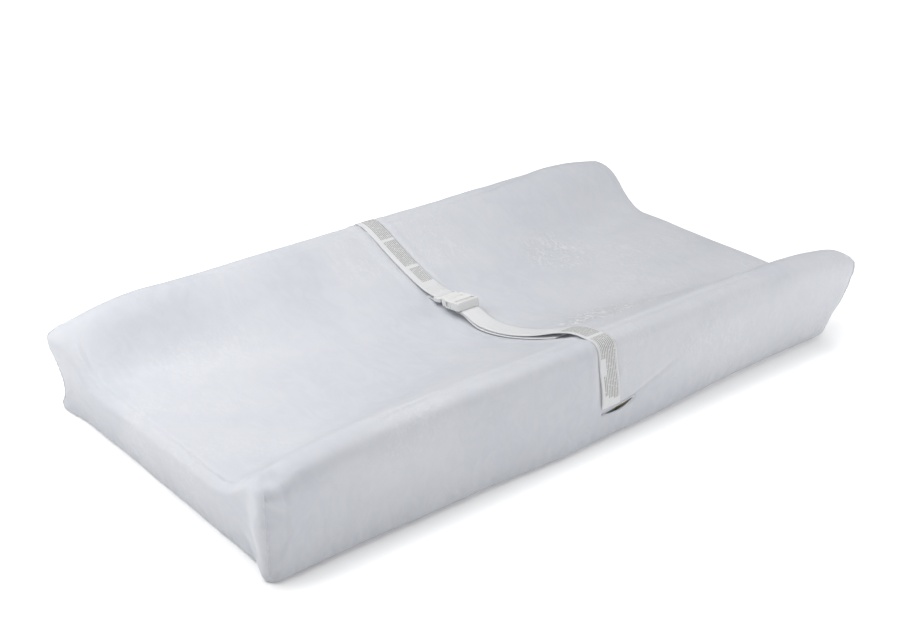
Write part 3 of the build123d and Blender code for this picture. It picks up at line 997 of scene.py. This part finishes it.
# The printed stretches of each half: start and end along it, then left and right as shares of its width.
near_blocks = [
    (42 * mm, 66 * mm, 0.14, 0.34), (38 * mm, 84 * mm, 0.36, 0.6), (35 * mm, 88 * mm, 0.6, 0.92),
    (84 * mm, 112 * mm, 0.1, 0.92), (117 * mm, 158 * mm, 0.12, 0.9),
]
far_blocks = [
    (96 * mm, 143 * mm, 0.26, 0.94), (147 * mm, 192 * mm, 0.26, 0.94), (197 * mm, 224 * mm, 0.3, 0.92),
]
near_strap = ribbon("belt_near_half", near_route(), webbing_material("near_webbing", near_blocks))
far_strap = ribbon("belt_far_half", far_route(), webbing_material("far_webbing", far_blocks), flip=True)


def stitch(start, end, radius):
    """One stitch: a short thread that dips into the cloth at both ends."""
    start, end = Vector(start), Vector(end)
    path, radii = [], []
    for k in range(7):
        share = k / 6
        lift = radius * (1.6 * sin(pi * share) - 0.8)
        path.append(start.lerp(end, share) + Vector((0, 0, lift)))
        size = radius * (0.45 + 0.55 * sin(pi * share))
        radii.append((size, size))
    return tube("stitch", path, radii, thread, sides=6)


def box_stitch():
    """The sewn square that closes the far half's loop behind the plug."""
    strap_tree = surface_tree(far_strap)
    low_y, high_y = buckle_y + 31 * mm, buckle_y + 43 * mm
    half = 9.5 * mm
    corners = [(-half, low_y), (half, low_y), (half, high_y), (-half, high_y)]
    runs = [(corners[k], corners[(k + 1) % 4]) for k in range(4)]
    runs += [(corners[0], corners[2]), (corners[1], corners[3])]
    stitches = []
    for (x0, y0), (x1, y1) in runs:
        count = max(2, round(np.hypot(x1 - x0, y1 - y0) / (2.6 * mm)))
        for k in range(count):
            ends = []
            for share in ((k + 0.08) / count, (k + 0.92) / count):
                x, y = belt_x + mix(x0, x1, share), mix(y0, y1, share)
                ends.append(strap_tree.ray_cast(Vector((x, y, 0.2)), Vector((0, 0, -1)))[0])
            stitches.append(stitch(ends[0], ends[1], 0.28 * mm))
    return join("box_stitch", stitches)


box_stitches = box_stitch()


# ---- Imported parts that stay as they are

def dress(node, material):
    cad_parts[node].data.materials.clear()
    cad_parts[node].data.materials.append(material)


for node in ("buckle_receptacle", "buckle_plug", "left_latch_arm", "right_latch_arm"):
    dress(node, plastic)
for node in ("near_anchor_patch", "far_anchor_patch"):
    dress(node, patch_cloth)
dress("anchor_stitching", thread)
dress("hem_elastic", elastic)


# ---- What each piece stands for, and what it moves with

stands_for = [
    (cover, "plush_cover", "plush"), (seams, "cover_corner_seams", "plush"), (hem, "cover_hem", "plush"),
    (near_binding, "near_slit_binding", "plush"), (far_binding, "far_slit_binding", "plush"),
    (liner_top, "liner_top_panel", "liner"), (liner_side, "liner_side_band", "liner"),
    (liner_base, "liner_base_panel", "liner"), (piping, "liner_piping", "liner"), (foam, "foam_core", "foam"),
    (far_strap, "far_strap", "webbing"), (box_stitches, "far_strap_stitching", "thread"),
]
for piece, node, slot in stands_for:
    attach(piece, "pad")
    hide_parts(node)
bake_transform(near_strap)
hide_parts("near_strap")


# ---- Studio

def studio_floor():
    """White paper that glows, less within a box about the pad, so that its shadow shows and stays close."""
    material, tree, shader = new_material("studio_white", roughness=0.9, specular=0.0)
    where = place(tree, (0.7, 1, 1))
    tone = noise_of(tree, where, 3, 2)
    paper = mix_colour(tree, tone, (0.90, 0.90, 0.90), (0.92, 0.92, 0.92))
    tree.links.new(paper, shader.inputs["Base Color"])
    shader.inputs["Emission Color"].default_value = (1, 1, 1, 1)
    # Painted light and shadow: the floor glows though it is no lamp, and glows less within a box about the
    # pad, a painted contact shadow; the box sits left of and nearer than the pad, so the glow lights the
    # floor just past the right end and takes away the shadow there.
    centre = (-35 * mm, -15 * mm, 0)
    size = (half_length - 22 * mm, half_width - 22 * mm, 1)
    centred = add_node(tree, "ShaderNodeVectorMath", {0: place(tree), 1: centre}, operation="SUBTRACT")
    absolute = add_node(tree, "ShaderNodeVectorMath", {0: centred.outputs[0]}, operation="ABSOLUTE")
    outside = add_node(tree, "ShaderNodeVectorMath", {0: absolute.outputs[0], 1: size}, operation="SUBTRACT")
    beyond = add_node(tree, "ShaderNodeVectorMath", {0: outside.outputs[0]}, operation="MAXIMUM")
    distance = add_node(tree, "ShaderNodeVectorMath", {0: beyond.outputs[0]}, operation="LENGTH")
    away = distance.outputs["Value"]
    close_glow = math_node(tree, "MULTIPLY", between(tree, away, 4 * mm, 50 * mm), 0.3)
    far_glow = math_node(tree, "MULTIPLY", between(tree, away, 200 * mm, 500 * mm), 0.6)
    glow = math_node(tree, "ADD", math_node(tree, "ADD", close_glow, far_glow), 0.15)
    tree.links.new(glow, shader.inputs["Emission Strength"])
    corners = [(-9, -9, 0), (9, -9, 0), (9, 9, 0), (-9, 9, 0)]
    floor = new_object("studio_floor", corners, [(0, 1, 2, 3)], material)
    floor.location.z = -0.3 * mm


def area_light(name, position, aim, size, energy):
    data = bpy.data.lights.new(name, "AREA")
    data.size = size
    data.energy = energy
    light = bpy.data.objects.new(name, data)
    light.location = position
    light.rotation_euler = (Vector(aim) - Vector(position)).to_track_quat("-Z", "Y").to_euler()
    light.visible_camera = False
    bpy.context.scene.collection.objects.link(light)


def studio():
    studio_floor()
    area_light("overhead", (-0.38, 0.1, 2.2), (0, 0, 0.05), 2.4, 45)
    area_light("left", (-0.65, 0.3, 0.8), (-0.25, 0, 0.05), 0.8, 4.5)
    area_light("right_front", (1.25, -1.25, 0.7), (0.35, 0, 0.05), 0.7, 9)
    world = bpy.data.worlds.new("studio")
    world.use_nodes = True
    background = world.node_tree.nodes["Background"]
    background.inputs["Color"].default_value = (1, 1, 1, 1)
    background.inputs["Strength"].default_value = 0.03
    bpy.context.scene.world = world
    bpy.context.scene.view_settings.view_transform = "Standard"


def camera():
    """From the left and in front, a little above the pad."""
    data = bpy.data.cameras.new("camera")
    data.sensor_width = 36
    data.lens = 62.53
    data.clip_end = 50
    obj = bpy.data.objects.new("camera", data)
    obj.location = (-0.9896, -1.1913, 0.8204)
    aim = Vector((-0.0057, 0.0243, 0.0504))
    obj.rotation_euler = (aim - obj.location).to_track_quat("-Z", "Y").to_euler()
    bpy.context.scene.collection.objects.link(obj)
    bpy.context.scene.camera = obj


studio()
camera()
